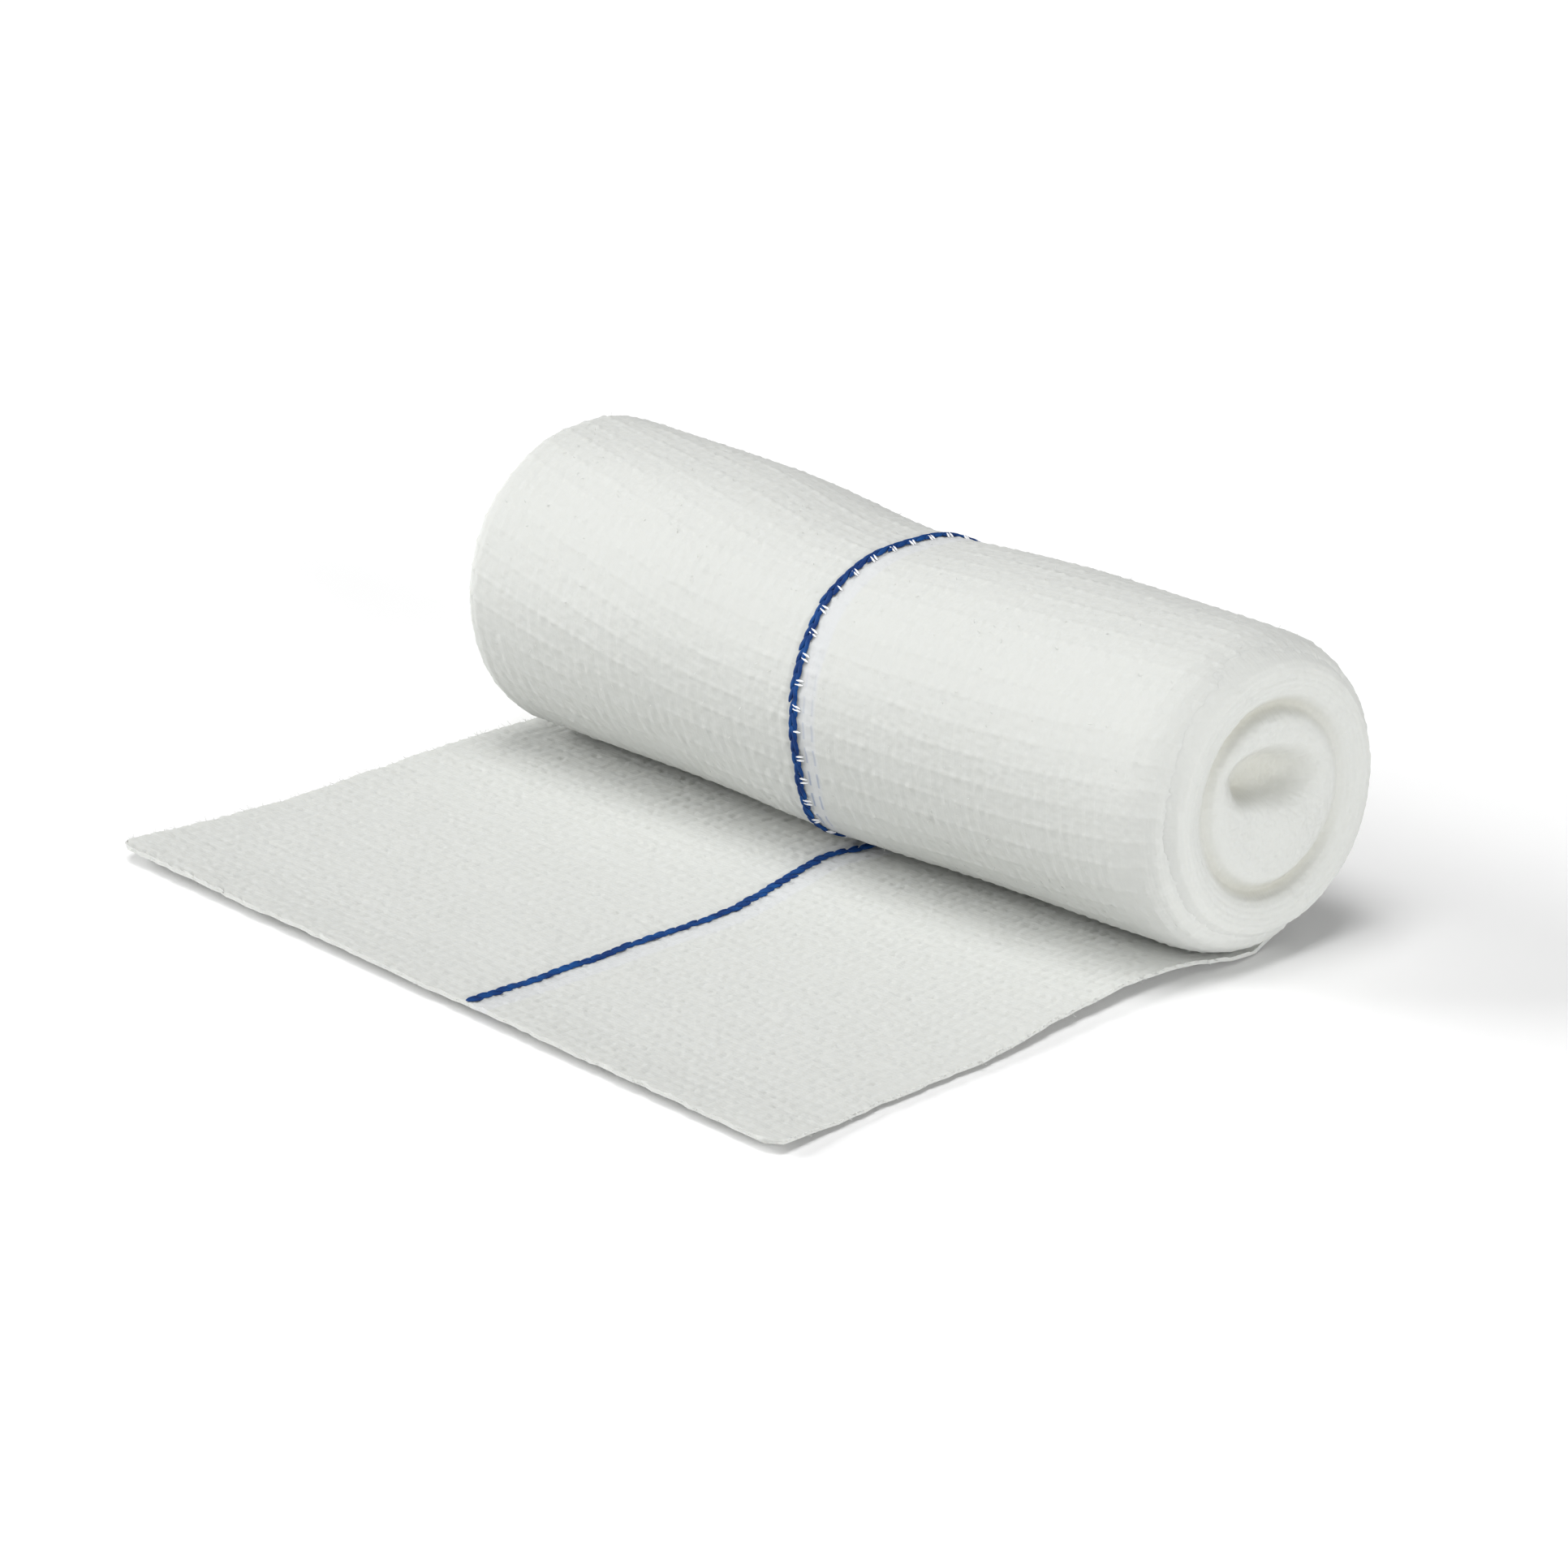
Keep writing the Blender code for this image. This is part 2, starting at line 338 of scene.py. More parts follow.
def bell(value, centre, reach):
    """1 at the centre, falling smoothly to nearly nothing at twice the reach."""
    return np.exp(-(((value - centre) / reach) ** 2))


def smooth_table(rows, column, at):
    """A column of a table against its first one, as a smooth curve through its rows."""
    keys = np.array([row[0] for row in rows])
    values = np.array([row[column] for row in rows])
    slopes = np.gradient(values, keys)
    at = np.clip(at, keys[0], keys[-1])
    low = np.clip(np.searchsorted(keys, at) - 1, 0, len(keys) - 2)
    span = keys[low + 1] - keys[low]
    t = (at - keys[low]) / span
    start, end = values[low], values[low + 1]
    rise = slopes[low] * span
    fall = slopes[low + 1] * span
    return (
        start * (2 * t**3 - 3 * t**2 + 1)
        + rise * (t**3 - 2 * t**2 + t)
        + end * (3 * t**2 - 2 * t**3)
        + fall * (t**3 - t**2)
    )


def tail_value(column, along):
    """A named column of the tail's outline, at a share of its length."""
    return smooth_table(TAIL_ROWS, TAIL_COLUMNS.index(column), along)


def cell_noise(seed, u, v=0.0):
    """Smooth noise between -1 and 1 with one bump per unit cell."""
    table = np.random.default_rng(seed).uniform(-1, 1, (NOISE_CELLS, NOISE_CELLS))
    u, v = np.broadcast_arrays(np.asarray(u, float), np.asarray(v, float))
    low_u, low_v = np.floor(u).astype(int), np.floor(v).astype(int)
    share_u = smooth_step(u - low_u, 0.0, 1.0)
    share_v = smooth_step(v - low_v, 0.0, 1.0)

    def corner(i, j):
        return table[(low_u + i) % NOISE_CELLS, (low_v + j) % NOISE_CELLS]

    near = mix(corner(0, 0), corner(1, 0), share_u)
    far = mix(corner(0, 1), corner(1, 1), share_u)
    return mix(near, far, share_v)


def waves(name, along, across):
    seed, height, length, count = WAVES[name]
    return height * cell_noise(seed, along / length, across * count)


def wound_angle(s):
    """The angle wound after a length s of strip on the roll."""
    inside = np.maximum(ROLL_RADIUS**2 - PLY_PITCH * np.maximum(s, 0.0) / math.pi, 0.0)
    return (ROLL_RADIUS - np.sqrt(inside)) * FULL_TURN / PLY_PITCH


def wound_length(angle):
    return ROLL_RADIUS * angle - PLY_PITCH * angle**2 / (2 * FULL_TURN)


def marker_x(s):
    tail = smooth_table(MARKER_ON_TAIL, 1, np.minimum(s, 0.0))
    roll = smooth_table(MARKER_ON_ROLL, 1, np.degrees(wound_angle(s)))
    return np.where(s < 0, tail, roll)


def swell(angle, x, depth):
    """How far the roll stands out from its round form. It fades towards the core."""
    turn = np.mod(angle, FULL_TURN)
    rise = np.abs(np.sin(turn / 2))
    form = mix(LEFT_SWELL, RIGHT_SWELL, x / STRIP_WIDTH + 0.5) * rise
    form = form + TOP_DIP * smooth_step(x, *TOP_DIP_RANGE) * rise**4
    form = form - WAIST_DEPTH * rise**3 * bell(x, WAIST_CENTRE, WAIST_REACH)
    form = form - FOLD_DEPTH * rise**6 * bell(x, FOLD_CENTRE, FOLD_REACH)
    form = form + BELLY_HEIGHT * bell(x, 0.0, BELLY_REACH) * bell(turn, BELLY_ANGLE, BELLY_SPREAD)
    flats = cell_noise(SEEDS["flats"], NOISE_CENTRE + FLAT_VARIETY * np.cos(turn), x / FLAT_LENGTH)
    flats = FLAT_HEIGHT * np.cos(FLAT_COUNT * turn + FLAT_TWIST * x) * flats
    along = x / LUMP_LENGTH + NOISE_CORNER
    lumps = cell_noise(SEEDS["lumps"], NOISE_CENTRE + LUMP_VARIETY * np.cos(turn), along)
    lumps = lumps + cell_noise(SEEDS["side_lumps"], NOISE_CENTRE + LUMP_VARIETY * np.sin(turn), along)
    unevenness = (flats + LUMP_HEIGHT * lumps) * np.minimum(rise * UNEVEN_RISE, 1.0)
    return (form + unevenness) * np.clip(1 - depth / ROLL_RADIUS, 0.0, 1.0)


def by_side(side, sizes):
    return np.where(side < 0, sizes[-1], sizes[1])


def wound_half_width(side):
    """Width of one half of a wound turn, round its curled edge."""
    return SHOULDER_START[side] + (SHOULDER_OUT[side] + SHOULDER_IN[side]) / 2 * CURL_ANGLE


def tail_form(s, a, side):
    """Sideways place and height of the flat strip: outline, rounded corners, ragged and lifted edges."""
    along = -s / TAIL_LENGTH
    half_width = np.where(side < 0, tail_value("left", along), tail_value("right", along))
    near_cut = np.clip(TAIL_LENGTH + s, 0.0, CORNER_RADIUS)
    rounded = CORNER_RADIUS - np.sqrt(np.maximum(CORNER_RADIUS**2 - (CORNER_RADIUS - near_cut) ** 2, 0.0))
    ragged = waves("edge_fine", s, side) + waves("edge_coarse", s, side)
    half_width = half_width - rounded + ragged * np.abs(a) ** RAGGED_POWER
    lift_edge = np.where(side < 0, tail_value("lift_left", along), tail_value("lift_right", along))
    lift = mix(tail_value("lift_middle", along), lift_edge, np.abs(a) ** EDGE_LIFT_POWER)
    ripple = waves("ripple", s, a) + waves("ripple_fine", s, a)
    height = TAIL_BASE + EDGE_LIFT * lift + (ripple + RIPPLE_RISE) * smooth_step(-s, *RIPPLE_RANGE)
    return a * half_width, height


def curled_form(angle, a, side, depth, curled):
    """Sideways place of a wound ply, and how far its curled edge drops towards the axis."""
    start = by_side(side, SHOULDER_START)
    outwards = by_side(side, SHOULDER_OUT)
    inwards = by_side(side, SHOULDER_IN)
    shoulder = (outwards + inwards) / 2
    uneven = waves("ply_edge", angle, side) * smooth_step(angle, *FREE_EDGE_RANGE)
    arc = np.abs(a) * (start + shoulder * CURL_ANGLE + uneven)
    curl = np.maximum(arc - start, 0.0) / shoulder
    nested = np.maximum(1 - depth / shoulder, 0.1)
    sink = EDGE_SINK * smooth_step(curl, CURL_ANGLE - EDGE_SINK_ANGLE, CURL_ANGLE) * curled
    x = side * (np.minimum(arc, start) + (outwards * nested - sink) * np.sin(curl))
    return x, inwards * nested * (1 - np.cos(curl * curled)) + sink * np.cos(curl)


def strip_place(s, a):
    """Outer face of the first turns and underside of the tail."""
    s, a = np.broadcast_arrays(s, a)
    side = np.sign(a) + (a == 0)
    angle = wound_angle(s)
    depth = PLY_PITCH * angle / FULL_TURN
    curled = smooth_step(angle, UNCURLED_UNTIL, CURLED_FROM)
    flat_x, height = tail_form(s, a, side)
    curled_x, drop = curled_form(angle, a, side, depth, curled)
    x = mix(flat_x, curled_x, curled)
    reach = ROLL_RADIUS - depth + swell(angle, x, depth) * curled - drop
    turn = angle - math.pi / 2
    cut = waves("cut_edge", a, 0.0) * smooth_step(-s, TAIL_LENGTH - CUT_DEPTH, TAIL_LENGTH)
    slant = CUT_SLANT * x / STRIP_WIDTH * -s / TAIL_LENGTH
    shift = AXIS_SHIFT * np.abs(np.sin(angle / 2)) * curled
    y = np.where(s < 0, s - slant + cut, shift + reach * np.cos(turn))
    z = np.where(s < 0, height, ROLL_RADIUS + reach * np.sin(turn) + TAIL_BASE)
    return np.stack([x, y, z], -1)


def grid_normals(points):
    """Unit normals of a grid of points, on the side that faces away from the roll's axis."""
    along = np.gradient(points, axis=0)
    across = np.gradient(points, axis=1)
    normals = np.cross(along, across)
    return normals / np.linalg.norm(normals, axis=-1, keepdims=True)


def knit_numbers(s, a, x):
    """Rib number, crosswise ridge number and distance from the marker."""
    wander = waves("course", s, a)
    bow = COURSE_BOW * (x - COURSE_BOW_CENTRE) ** 2 * smooth_step(s, 0, COURSE_BOW_LENGTH)
    course = np.where(s < 0, (s + wander) / TAIL_COURSE, (s + bow + wander) / ROLL_COURSE)
    return a * WALES + 0 * s, course, x - marker_x(s)


def stitch_noise(name, wale, course, cells):
    """Noise with a number of cells to each stitch, along the ribs and across them."""
    return cell_noise(SEEDS[name], wale * cells[0], course * cells[1])


def knit_relief(s, a, x):
    """Height of the knit over the smooth cloth."""
    wale, course, _ = knit_numbers(s, a, x)
    rib = 0.5 + 0.5 * np.cos(FULL_TURN * wale)
    stitch = stitch_noise("stitches", wale, np.round(course), STITCH_CELLS)
    strength = STITCH_STRENGTH + STITCH_VARIETY * stitch
    ridge = mix(RIDGE_BETWEEN_RIBS, 1, rib) * bell(course, np.round(course), RIDGE_WIDTH) * strength
    fine_grain = stitch_noise("fine_grain", wale, course, FINE_GRAIN_CELLS)
    grain = stitch_noise("grain", wale, course, GRAIN_CELLS) + FINE_GRAIN_SHARE * fine_grain
    pit = bell(wale, np.floor(wale) + 0.5, PIT_WIDTH) * bell(course, np.floor(course) + 0.5, PIT_WIDTH)
    heights = {"ridge": ridge, "rib": rib, "grain": grain, "pit": pit * strength}
    roll = sum(ROLL_RELIEF[form] * height for form, height in heights.items())
    tail = sum(TAIL_RELIEF[form] * height for form, height in heights.items())
    return mix(tail, roll, smooth_step(s, *RELIEF_CHANGE))


def new_object(name, points, faces):
    mesh = bpy.data.meshes.new(name)
    mesh.from_pydata((points * MM).tolist(), [], faces)
    mesh.shade_smooth()
    mesh.update()
    piece = bpy.data.objects.new(name, mesh)
    bpy.context.scene.collection.objects.link(piece)
    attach(piece, "root")
    return piece


def add_attribute(piece, name, kind, field, values):
    attribute = piece.data.attributes.new(name, kind, "POINT")
    attribute.data.foreach_set(field, np.ascontiguousarray(values, np.float32).ravel())


def cloth_piece(name, fine, coarse, knit, step, flipped):
    """A closed piece of cloth: a fine grid on the seen face, every step-th point on the other, and a rim."""
    rows, columns = fine.shape[:2]
    back = coarse[::step, ::step]
    back_rows, back_columns = back.shape[:2]
    f = np.arange(rows * columns).reshape(rows, columns)
    b = rows * columns + np.arange(back_rows * back_columns).reshape(back_rows, back_columns)
    quads = np.stack([f[:-1, :-1], f[1:, :-1], f[1:, 1:], f[:-1, 1:]], -1).reshape(-1, 4)
    back_quads = np.stack([b[:-1, :-1], b[:-1, 1:], b[1:, 1:], b[1:, :-1]], -1).reshape(-1, 4)
    faces = quads.tolist() + back_quads.tolist()
    for j in range(back_columns - 1):
        near = slice(j * step, (j + 1) * step + 1)
        faces.append(f[0, near].tolist() + [b[0, j + 1], b[0, j]])
        faces.append(f[-1, near].tolist()[::-1] + [b[-1, j], b[-1, j + 1]])
    for i in range(back_rows - 1):
        near = slice(i * step, (i + 1) * step + 1)
        faces.append(f[near, 0].tolist()[::-1] + [b[i, 0], b[i + 1, 0]])
        faces.append(f[near, -1].tolist() + [b[i + 1, -1], b[i, -1]])
    faces = [[int(k) for k in face] for face in faces]
    if flipped:
        faces = [face[::-1] for face in faces]
    points = np.concatenate([fine.reshape(-1, 3), back.reshape(-1, 3)])
    piece = new_object(name, points, faces)
    numbers = np.concatenate([knit.reshape(-1, 3), knit[::step, ::step].reshape(-1, 3)])
    add_attribute(piece, "knit", "FLOAT_VECTOR", "vector", numbers)
    piece.data.set_sharp_from_angle(angle=SHARP_ANGLE)
    return piece


def even_count(length, spacing):
    """Number of points along a length, of which the other face can keep every fourth and both ends."""
    return max(int(round(length / spacing / BACK_STEP)), 1) * BACK_STEP + 1


def strip_piece(name, along, across, spacing, thickness, top_seen):
    """A piece of the strip between two places along it and two across it."""
    width = (across[1] - across[0]) * GRID_HALF_WIDTH
    s = np.linspace(*along, even_count(along[1] - along[0], spacing))[:, None]
    a = np.linspace(*across, even_count(width, spacing))[None, :]
    # The middle of the strip follows the marker, so that the yarn covers a join there.
    a = a + marker_x(s) / (STRIP_WIDTH / 2) * np.clip(1 - np.abs(a), 0, 1) ** 3
    outer = strip_place(s, a)
    normals = grid_normals(outer)
    inner = outer - normals * thickness
    s, a = np.broadcast_arrays(s, a)
    knit = np.stack(knit_numbers(s, a, outer[..., 0]), -1)
    relief = knit_relief(s, a, outer[..., 0])[..., None]
    if top_seen:
        return cloth_piece(name, inner - normals * relief, outer, knit, BACK_STEP, True)
    return cloth_piece(name, outer + normals * relief, inner, knit, BACK_STEP, False)


def spot(u, v, place, size):
    """1 at a place on the end of the roll, falling off over a size in each direction."""
    return bell(u, place[0], size[0]) * bell(v, place[1], size[1])


def end_folds(radius, turn):
    """How much of the core's hollow, its pit and the groove shows at a place on the end."""
    u, v = radius * np.cos(turn), radius * np.sin(turn)
    aside, above = u - HOLLOW_PLACE[0], v - HOLLOW_PLACE[1]
    along = aside * math.cos(HOLLOW_SLANT) - above * math.sin(HOLLOW_SLANT)
    across = aside * math.sin(HOLLOW_SLANT) + above * math.cos(HOLLOW_SLANT)
    away = (along / HOLLOW_SIZE[0]) ** 2 + (across / HOLLOW_SIZE[1]) ** 2
    hollow = np.exp(-(away**HOLLOW_POWER))
    pit = spot(u, v, PIT_PLACE, PIT_SIZE)
    share = GROOVE_SHARE - GROOVE_TWICE * np.cos(2 * turn) - GROOVE_ONCE * np.cos(turn)
    return hollow, pit, share * bell(radius, GROOVE_RADIUS, GROOVE_REACH)


def end_x(side, radius, turn):
    """How far out the end of the roll lies: the edges of its plies, from the shoulder to the folded core."""
    edge = SHOULDER_START[side] + SHOULDER_OUT[side] * math.sin(CURL_ANGLE)
    hollow, pit, groove = end_folds(radius, turn)
    filled = bell(radius, GROOVE_RADIUS, GROOVE_REACH) - groove
    u, v = radius * np.cos(turn), radius * np.sin(turn)
    raised = GROOVE_FILL * filled + CORE_LUMP_HEIGHT * spot(u, v, LUMP_PLACE, LUMP_SIZE)
    soft_u = u / END_SOFT_LENGTH + END_SOFT_CORNER
    soft_v = v / END_SOFT_LENGTH + END_SOFT_CORNER + END_SIDE_CELLS * side
    soft = END_SOFTNESS * cell_noise(SEEDS["end_softness"], soft_u, soft_v)
    return edge - smooth_table(END_ROWS, 1, radius) + raised - HOLLOW_DEPTH * hollow - PIT_DEPTH * pit + soft


def end_relief(radius, turn):
    """The faint spiral of the plies' edges on an end, and the grain of its cloth."""
    u, v = radius * np.cos(turn), radius * np.sin(turn)
    spiral = np.cos(FULL_TURN * (radius / PLY_PITCH / SPIRAL_STRETCH) + turn)
    relief = mix(*SPIRAL_HEIGHTS, smooth_step(radius, *SPIRAL_CHANGE)) * spiral
    for seed, height, cells in END_GRAIN_ROWS:
        relief = relief + height * cell_noise(seed, u * cells + NOISE_CORNER, v * cells + NOISE_CORNER)
    return relief


def end_piece(name, side):
    """The seen ends of the inner plies, as one soft closed face."""
    radius = np.linspace(END_RADIUS, END_INNER_RADIUS, END_RINGS)[:, None]
    turn = np.linspace(0, FULL_TURN, END_SIDES, endpoint=False)[None, :]
    u, v = radius * np.cos(turn), radius * np.sin(turn)
    face_x = end_x(side, radius, turn) + end_relief(radius, turn)
    y = AXIS_SHIFT + u
    z = ROLL_RADIUS + TAIL_BASE + v
    face = np.stack([side * face_x, y, z], -1)
    back = np.stack([side * (face_x - END_THICKNESS), y, z], -1)
    points = np.concatenate([face, back[::-1]])
    rows, columns = points.shape[:2]
    index = np.arange(rows * columns).reshape(rows, columns)
    ahead = np.roll(index, -1, axis=1)
    following = np.roll(index, -1, axis=0)
    ahead_following = np.roll(ahead, -1, axis=0)
    quads = np.stack([index, ahead, ahead_following, following], -1)
    middle = rows // 2 - 1
    quads = np.delete(quads, middle, axis=0).reshape(-1, 4).tolist()
    faces = quads + [index[middle].tolist(), index[middle + 1].tolist()[::-1]]
    if side < 0:
        faces = [corners[::-1] for corners in faces]
    piece = new_object(name, points.reshape(-1, 3), faces)
    knit = np.stack([u / COIL_WALE, v / COIL_WALE, 60 + 0 * u], -1)
    add_attribute(piece, "knit", "FLOAT_VECTOR", "vector", np.concatenate([knit, knit[::-1]]))
    # Painted shade: a mask that darkens the cloth's colour in the groove, the hollow and the pit of the end
    hollow, pit, groove = end_folds(radius, turn)
    painted_shade = np.clip(0.75 * hollow + 0.5 * pit + 1.1 * groove, 0, 1)
    add_attribute(piece, "painted_shade", "FLOAT", "value", np.concatenate([painted_shade, painted_shade[::-1]]))
    return piece


def coil_piece():
    """The inner turns, whose edges end just behind the seen faces."""
    last = FULL_TURN * (ROLL_RADIUS - CORE_RADIUS) / PLY_PITCH
    angle = np.linspace(COIL_START, last, int((last - COIL_START) / FULL_TURN * COIL_STEPS))[:, None]
    depth = PLY_PITCH * angle / FULL_TURN
    turn = angle - math.pi / 2
    radius = ROLL_RADIUS - depth
    ends = {side: end_x(side, radius, turn) - COIL_SET_BACK for side in (-1, 1)}
    left = [-share * ends[-1] for share in reversed(COIL_COLUMNS)]
    right = [share * ends[1] for share in COIL_COLUMNS]
    x = np.concatenate(left + [0 * angle] + right, 1)
    reach = radius + swell(angle, x, depth) - COIL_SINK
    y = AXIS_SHIFT * np.abs(np.sin(angle / 2)) + reach * np.cos(turn)
    z = ROLL_RADIUS + TAIL_BASE + reach * np.sin(turn)
    outer = np.stack([x, y, z], -1)
    inner = outer - grid_normals(outer) * COIL_THICKNESS
    knit = np.stack([x / COIL_WALE, (wound_length(angle) + 0 * x) / ROLL_COURSE, x + 60], -1)
    return cloth_piece("bandage_coil", outer, inner, knit, 1, False)


def capsule(start, end, radius, flat, up, sides=8, rings=5):
    """Points and faces of a rounded strand from start to end, flattened along up."""
    axis = end - start
    length = np.linalg.norm(axis)
    axis = axis / length
    across = np.cross(axis, up)
    across /= np.linalg.norm(across)
    up = np.cross(across, axis)
    points = [start - axis * radius * STRAND_TIP]
    for ring in range(rings):
        t = ring / (rings - 1)
        centre = start + axis * length * t
        size = radius * math.sqrt(max(1 - abs(2 * t - 1) ** 3 * 0.75, 0.05))
        for side in range(sides):
            phi = FULL_TURN * side / sides
            points.append(centre + (across * math.cos(phi) + up * math.sin(phi) * flat) * size)
    points.append(end + axis * radius * STRAND_TIP)
    faces = []
    last = len(points) - 1
    for side in range(sides):
        following = (side + 1) % sides
        faces.append((0, 1 + following, 1 + side))
        for ring in range(rings - 1):
            low = 1 + ring * sides
            faces.append((low + side, low + following, low + sides + following, low + sides + side))
        low = 1 + (rings - 1) * sides
        faces.append((low + side, low + following, last))
    return np.array(points), faces


def joined(name, parts):
    points, faces, total = [], [], 0
    for part_points, part_faces in parts:
        points.append(part_points)
        faces += [tuple(index + total for index in face) for face in part_faces]
        total += len(part_points)
    return new_object(name, np.concatenate(points), faces)


def on_strip(s, x, rise, top):
    """A point at x over the seen face of the strip, and the frame there: along, across, out."""
    s = np.array([s - 0.05, s, s + 0.05])
    side = -1 if x < 0 else 1
    flat = tail_value("left" if x < 0 else "right", -s / TAIL_LENGTH)
    curled = smooth_step(wound_angle(s), UNCURLED_UNTIL, CURLED_FROM)
    a = x / mix(flat, wound_half_width(side), curled)
    here = strip_place(s, a)
    beside = strip_place(s[1:2], a[1:2] + 0.002)[0]
    along = here[2] - here[0]
    along /= np.linalg.norm(along)
    across = beside - here[1]
    out = np.cross(along, across)
    out /= np.linalg.norm(out)
    if top:
        out = -out
        rise = rise + TAIL_THICKNESS
    return here[1] + out * rise, along, np.cross(out, along), out


def marker_piece(name, s_from, s_to, pitch, strand, top):
    """Chain-stitched yarn: two strands to a stitch that lean out from the middle of the line."""
    random = np.random.default_rng(SEEDS["marker"])
    parts = []
    count = int(round((s_to - s_from) / pitch))
    for stitch in range(count):
        s = s_from + (stitch + 0.5) * (s_to - s_from) / count
        middle = float(marker_x(np.array([s]))[0])
        wobble = random.normal(0, MARKER_WOBBLE)
        point, along, across, out = on_strip(s, middle + wobble, strand["rise"], top)
        for lean in (-1, 1):
            reach = strand["reach"] + random.uniform(-0.05, 0.09)
            aside = across * lean
            start = point - along * pitch * STITCH_BACK + aside * STRAND_PARTING + out * STRAND_START_RISE
            end = point + along * pitch * STITCH_AHEAD + aside * reach + out * random.uniform(-0.03, 0.05)
            radius = STRAND_RADIUS + random.uniform(-0.02, 0.03)
            parts.append(capsule(start, end, radius, STRAND_FLATNESS, out))
    return joined(name, parts)


def tick_piece():
    """The white yarn where it crosses the right half of the marker, mostly in pairs."""
    random = np.random.default_rng(SEEDS["ticks"])
    parts = []
    s, last = (wound_length(math.radians(degrees)) for degrees in TICK_DEGREES)
    while s < last:
        middle = float(marker_x(np.array([s]))[0])
        for offset in TICK_OFFSETS[: 1 + (random.random() < TICK_CHANCE)]:
            point, along, across, out = on_strip(s + offset, middle + TICK_ASIDE, TICK_RISE, False)
            start = point - across * random.uniform(0.18, 0.34) + along * random.uniform(-0.1, 0.1)
            end = point + across * TICK_REACH - out * TICK_DIP + along * random.uniform(0.0, 0.25)
            parts.append(capsule(start, end, TICK_RADIUS, 1.0, out, 6, 4))
        s += ROLL_COURSE
    return joined("marker_ticks", parts)


def fibre(points, radius):
    """A three-sided hair along a few points."""
    corners, faces = [], []
    for k, point in enumerate(points):
        ahead = points[min(k + 1, len(points) - 1)] - points[max(k - 1, 0)]
        ahead /= np.linalg.norm(ahead)
        side = np.cross(ahead, (0.3, 0.5, 0.8))
        side /= np.linalg.norm(side)
        up = np.cross(side, ahead)
        for corner in range(3):
            phi = FULL_TURN * corner / 3
            corners.append(point + (side * math.cos(phi) + up * math.sin(phi)) * radius)
    for k in range(len(points) - 1):
        for corner in range(3):
            following = (corner + 1) % 3
            faces.append((3 * k + corner, 3 * k + following, 3 * k + 3 + following, 3 * k + 3 + corner))
    last = 3 * len(points) - 3
    faces += [(2, 1, 0), (last, last + 1, last + 2)]
    return np.array(corners), faces


def loose_fibre(random, point, along, across, out, kind):
    """A bent hair that starts at a point and leaves the cloth mostly across."""
    length = random.uniform(*kind["lengths"])
    heading = along * random.normal(0, kind["stray"]) + across + out * random.uniform(*FIBRE_LIFT)
    heading /= np.linalg.norm(heading)
    bend = random.normal(0, FIBRE_BEND, 3)
    line = [point + heading * length * t + bend * length * t * t * 0.5 for t in FIBRE_SHARES]
    for place in line:
        place[2] = max(place[2], FIBRE_FLOOR)
    return fibre(line, random.uniform(*FIBRE_RADII))


def fibre_piece():
    """Loose ends along the tail's side edges and its cut end, and over the roll."""
    random = np.random.default_rng(SEEDS["fibres"])
    parts = []
    for side, number in EDGE_FIBRES.items():
        for s in random.uniform(-TAIL_LENGTH + 1.0, -4, number):
            half = float(tail_value("left" if side < 0 else "right", np.array([-s / TAIL_LENGTH]))[0])
            point, along, across, out = on_strip(s, side * (half - 0.25), -0.15, True)
            outward = across if across[0] * side > 0 else -across
            parts.append(loose_fibre(random, point, along, outward, out, EDGE_FIBRE))
    forward = np.array([0.0, -1.0, 0.0])
    for x in random.uniform(-49, 47, CUT_FIBRES):
        point, along, across, out = on_strip(-TAIL_LENGTH + 0.3, x, -0.2, True)
        parts.append(loose_fibre(random, point, across, forward, out, CUT_FIBRE))
    for degrees in random.uniform(*ROLL_FIBRE_DEGREES, ROLL_FIBRES):
        x = random.uniform(-ROLL_FIBRE_HALF, ROLL_FIBRE_HALF)
        point, along, across, out = on_strip(float(wound_length(math.radians(degrees))), x, 0.0, False)
        upward = out * 0.7 + along * random.normal(0, 1)
        parts.append(loose_fibre(random, point, across, upward, out, ROLL_FIBRE))
    return joined("loose_fibres", parts)


